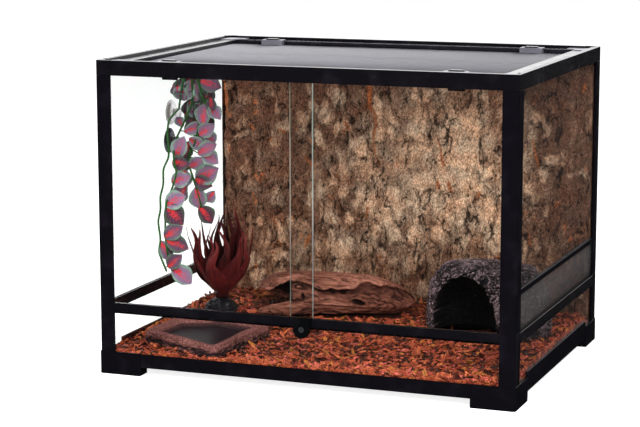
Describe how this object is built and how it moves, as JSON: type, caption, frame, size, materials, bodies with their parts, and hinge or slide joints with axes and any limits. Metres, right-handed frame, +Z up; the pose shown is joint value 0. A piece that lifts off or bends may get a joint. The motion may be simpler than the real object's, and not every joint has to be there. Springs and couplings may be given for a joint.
{
  "type": "reptile terrarium",
  "caption": "Glass reptile terrarium with sliding front doors, a side vent, a latched mesh lid, bark background, chip bedding, hide, log, dish and plants.",
  "frame": {"origin": "on the floor, at the middle of the box around the tank's feet", "axes": "+X to the right as seen from the doors, +Y from the doors to the rear, +Z up"},
  "size_m": [0.602, 0.457, 0.44],
  "materials": {
    "frame_black": "satin gloss",
    "pane_glass": "clear polished",
    "door_glass": "clear polished with ground edges",
    "net_metal": "satin grey",
    "lock_black": "gloss",
    "lock_metal": "polished",
    "lid_black": "satin",
    "lid_grey": "satin",
    "latch_grey": "satin",
    "cork_bark": "rough cork bark",
    "bark_chips": "loose chips",
    "driftwood": "weathered grain",
    "hide_rock": "rough cast resin",
    "dish_rock": "cast resin, glazed basin",
    "plant_burgundy": "satin",
    "plant_base_rock": "rough cast resin",
    "vine_leaf": "satin printed leaf",
    "cup_clear": "clear soft plastic"
  },
  "bodies": {
    "tank": {"base_corner_fl": "frame_black", "base_corner_fr": "frame_black", "base_corner_rl": "frame_black", "base_corner_rr": "frame_black", "post_fl": "frame_black", "post_fr": "frame_black", "post_rl": "frame_black", "post_rr": "frame_black", "top_corner_fl": "frame_black", "top_corner_fr": "frame_black", "top_corner_rl": "frame_black", "top_corner_rr": "frame_black", "base_rail_front": "frame_black", "base_rail_rear": "frame_black", "base_rail_left": "frame_black", "base_rail_right": "frame_black", "mid_rail_front": "frame_black", "mid_rail_rear": "frame_black", "mid_rail_left": "frame_black", "mid_rail_right": "frame_black", "top_rail_front": "frame_black", "top_rail_rear": "frame_black", "top_rail_left": "frame_black", "top_rail_right": "frame_black", "vent_trim": "frame_black", "door_track_top": "frame_black", "base_glass": "pane_glass", "lower_glass_front": "pane_glass", "lower_glass_rear": "pane_glass", "lower_glass_left": "pane_glass", "lower_glass_right": "pane_glass", "upper_glass_left": "pane_glass", "upper_glass_right": "pane_glass", "upper_glass_rear": "pane_glass", "vent_mesh": "net_metal", "lock_housing": "lock_black", "background_panel": "cork_bark", "substrate_bed": "bark_chips", "driftwood_log": "driftwood", "cave_hide": "hide_rock", "water_dish": "dish_rock", "plant_leaves": "plant_burgundy", "plant_rock": "plant_base_rock", "vine": "vine_leaf", "suction_cups": "cup_clear"},
    "lid": {"lid_rail_front": "lid_black", "lid_rail_rear": "lid_black", "lid_rail_left": "lid_black", "lid_rail_right": "lid_black", "lid_corners": "lid_grey", "lid_mesh": "net_metal", "latch_housings": "lid_grey"},
    "door_left": {"door_left": "door_glass"},
    "door_right": {"door_right": "door_glass"},
    "lock_cylinder": {"lock_cylinder": "lock_metal"},
    "latch_front_left": {"latch_front_left": "latch_grey"},
    "latch_front_right": {"latch_front_right": "latch_grey"},
    "latch_rear_left": {"latch_rear_left": "latch_grey"},
    "latch_rear_right": {"latch_rear_right": "latch_grey"}
  },
  "joints": [
    {"name": "door_left_slide", "type": "slide", "parent": "tank", "child": "door_left", "axis": [1, 0, 0], "range_m": [0, 0.27]},
    {"name": "door_right_slide", "type": "slide", "parent": "tank", "child": "door_right", "axis": [1, 0, 0], "range_m": [-0.27, 0]},
    {"name": "lock_turn", "type": "hinge", "parent": "tank", "child": "lock_cylinder", "pos_m": [0.004, -0.231, 0.087], "axis": [0, 1, 0], "range_deg": [0, 90]},
    {"name": "lid_lift", "type": "slide", "parent": "tank", "child": "lid", "axis": [0, 0, 1], "range_m": [0, 0.12]},
    {"name": "latch_front_left_slide", "type": "slide", "parent": "lid", "child": "latch_front_left", "axis": [0, -1, 0], "range_m": [0, 0.005]},
    {"name": "latch_front_right_slide", "type": "slide", "parent": "lid", "child": "latch_front_right", "axis": [0, -1, 0], "range_m": [0, 0.005]},
    {"name": "latch_rear_left_slide", "type": "slide", "parent": "lid", "child": "latch_rear_left", "axis": [0, 1, 0], "range_m": [0, 0.005]},
    {"name": "latch_rear_right_slide", "type": "slide", "parent": "lid", "child": "latch_rear_right", "axis": [0, 1, 0], "range_m": [0, 0.005]}
  ]
}
